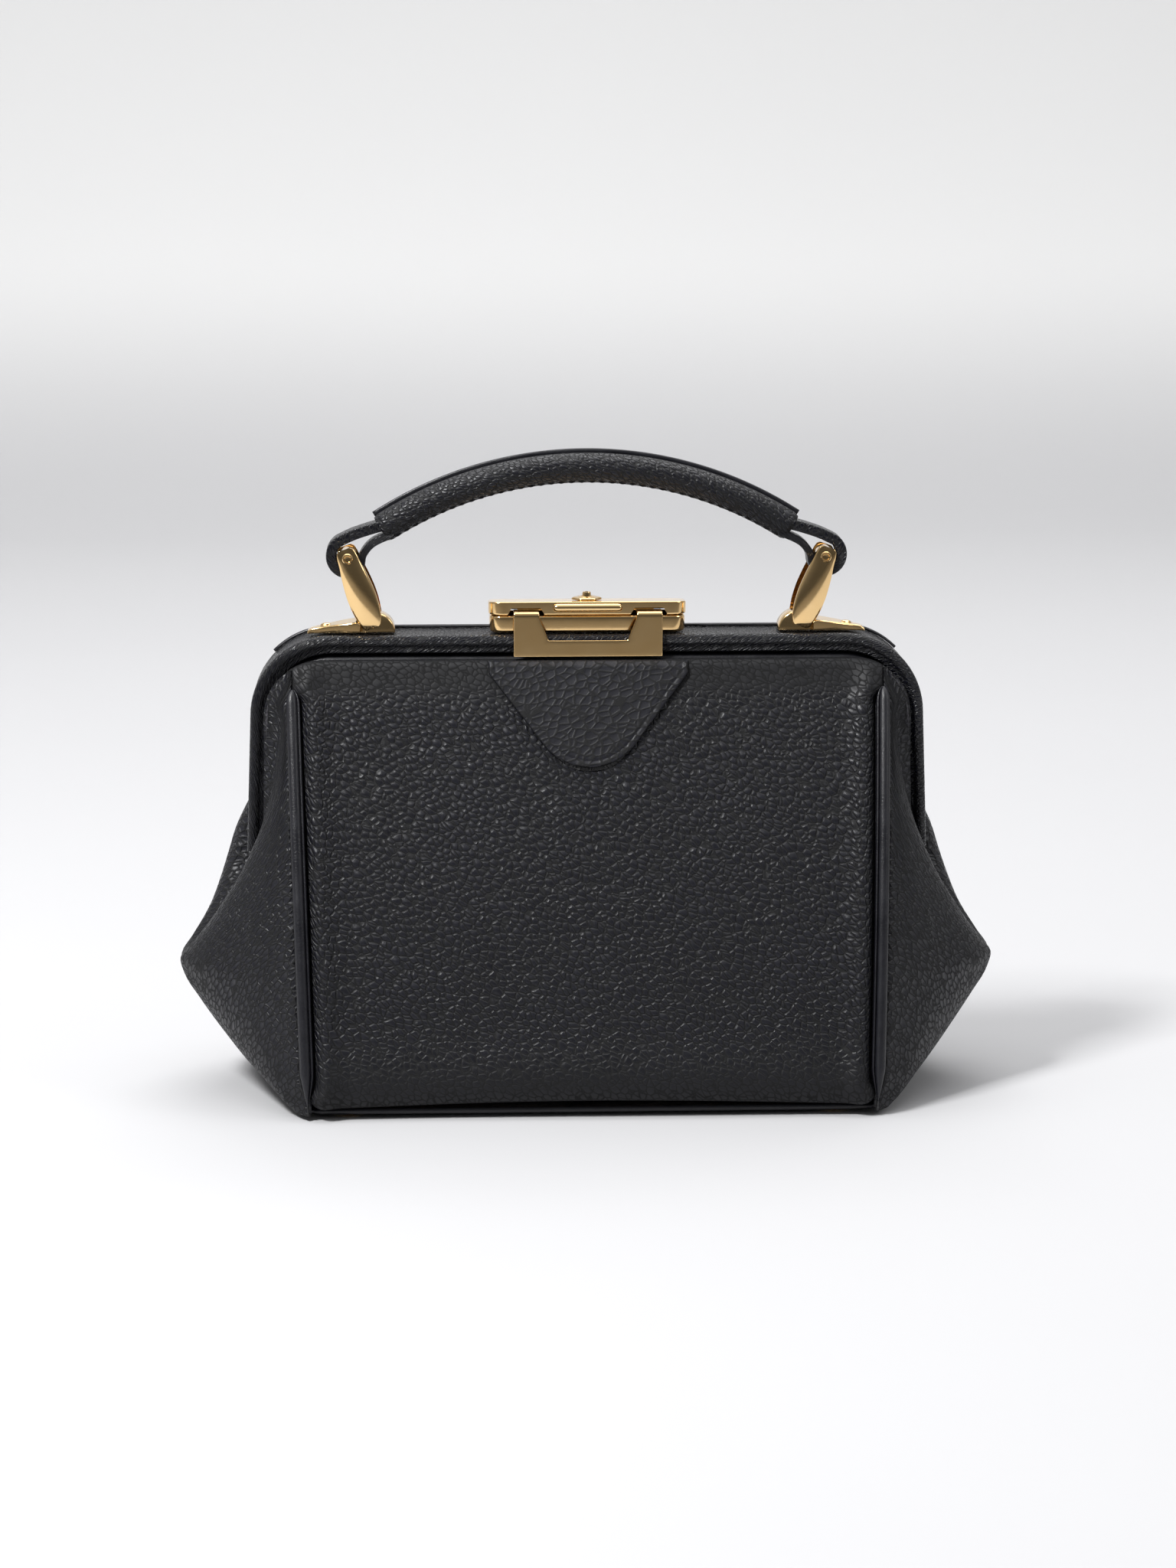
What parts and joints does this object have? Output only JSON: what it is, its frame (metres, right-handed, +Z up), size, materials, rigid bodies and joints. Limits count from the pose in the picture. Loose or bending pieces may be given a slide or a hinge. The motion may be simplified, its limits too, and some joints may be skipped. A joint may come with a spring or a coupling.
{
  "type": "doctor bag",
  "caption": "Structured leather doctor bag on a hinged metal frame, with folded-out gussets, a brass drop-lid lock with hasp and an arched handle on pivoting links.",
  "frame": {"origin": "on the ground, under the middle of the bag", "axes": "+X along the bag's width, to the right seen from the front; -Y towards the front panel; +Z up"},
  "size_m": [0.243, 0.104, 0.1905],
  "materials": {
    "leather": "pebble-grained black leather, low sheen",
    "leather_edge": "smooth black leather piping and edges",
    "brass": "polished pale gold plating",
    "steel": "plain mill finish",
    "lining_fabric": "plain woven lining",
    "board": "pressed fibre board"
  },
  "bodies": {
    "bag": {"front_panel": "leather", "back_panel": "leather", "left_gusset": "leather", "right_gusset": "leather", "base_panel": "leather", "tongue_tab": "leather", "left_front_piping": "leather_edge", "right_front_piping": "leather_edge", "left_back_piping": "leather_edge", "right_back_piping": "leather_edge", "front_lining": "lining_fabric", "back_lining": "lining_fabric", "inner_pocket": "lining_fabric", "base_lining": "lining_fabric", "base_board": "board", "left_front_foot": "brass", "right_front_foot": "brass", "left_back_foot": "brass", "right_back_foot": "brass", "left_hinge_pin": "steel", "right_hinge_pin": "steel"},
    "front_frame": {"front_frame_channel": "steel", "front_frame_cover": "leather", "hasp_plate": "brass", "hasp_rivet_1": "brass", "hasp_rivet_2": "brass"},
    "rear_frame": {"rear_frame_channel": "steel", "rear_frame_cover": "leather", "rear_frame_overlay": "leather_edge", "lock_tray": "brass", "lid_hinge_pin": "brass", "left_lock_rivet": "brass", "right_lock_rivet": "brass", "catch_spring": "steel", "left_handle_base": "brass", "right_handle_base": "brass", "left_base_rivet": "brass", "right_base_rivet": "brass", "left_base_pin": "brass", "right_base_pin": "brass"},
    "lock_lid": {"lock_lid": "brass", "lid_finger_tab": "brass", "key_escutcheon": "brass"},
    "key_barrel": {"key_plug": "brass"},
    "left_link": {"left_link_front": "brass", "left_link_rear": "brass", "left_top_pin": "brass"},
    "right_link": {"right_link_front": "brass", "right_link_rear": "brass", "right_top_pin": "brass"},
    "handle": {"left_strap_loop": "leather", "right_strap_loop": "leather", "left_loop_bush": "brass", "right_loop_bush": "brass", "grip_cover": "leather", "grip_core": "leather_edge", "grip_seam": "leather_edge"}
  },
  "joints": [
    {"name": "front_frame_hinge", "type": "hinge", "parent": "bag", "child": "front_frame", "pos_m": [0, 0, 0.072], "axis": [1, 0, 0], "range_deg": [0, 50], "deforming": ["front_panel", "back_panel", "left_gusset", "right_gusset", "tongue_tab", "left_front_piping", "right_front_piping", "left_back_piping", "right_back_piping", "front_lining", "back_lining", "inner_pocket"]},
    {"name": "rear_frame_hinge", "type": "hinge", "parent": "bag", "child": "rear_frame", "pos_m": [0, 0, 0.072], "axis": [-1, 0, 0], "range_deg": [0, 50], "deforming": ["front_panel", "back_panel", "left_gusset", "right_gusset", "tongue_tab", "left_front_piping", "right_front_piping", "left_back_piping", "right_back_piping", "front_lining", "back_lining", "inner_pocket"]},
    {"name": "lock_lid_hinge", "type": "hinge", "parent": "rear_frame", "child": "lock_lid", "pos_m": [0, 0.0093, 0.142], "axis": [-1, 0, 0], "range_deg": [0, 38]},
    {"name": "key_turn", "type": "hinge", "parent": "lock_lid", "child": "key_barrel", "pos_m": [0, 0.0005, 0.145], "axis": [0, 0, 1], "range_deg": [0, 90]},
    {"name": "left_link_pivot", "type": "hinge", "parent": "rear_frame", "child": "left_link", "pos_m": [-0.0643, 0.001, 0.1403], "axis": [0, 1, 0], "range_deg": [-10, 10]},
    {"name": "right_link_pivot", "type": "hinge", "parent": "rear_frame", "child": "right_link", "pos_m": [0.0643, 0.001, 0.1403], "axis": [0, 1, 0], "range_deg": [-10, 10]},
    {"name": "handle_pivot", "type": "hinge", "parent": "left_link", "child": "handle", "pos_m": [-0.07084, 0.001, 0.15878], "axis": [0, 1, 0], "range_deg": [-9.2, 9.2]}
  ],
  "couplings": [
    {"joint": "front_frame_hinge", "follows": "rear_frame_hinge", "ratio": 1},
    {"joint": "right_link_pivot", "follows": "left_link_pivot", "ratio": 1},
    {"joint": "handle_pivot", "follows": "left_link_pivot", "ratio": -0.91}
  ]
}
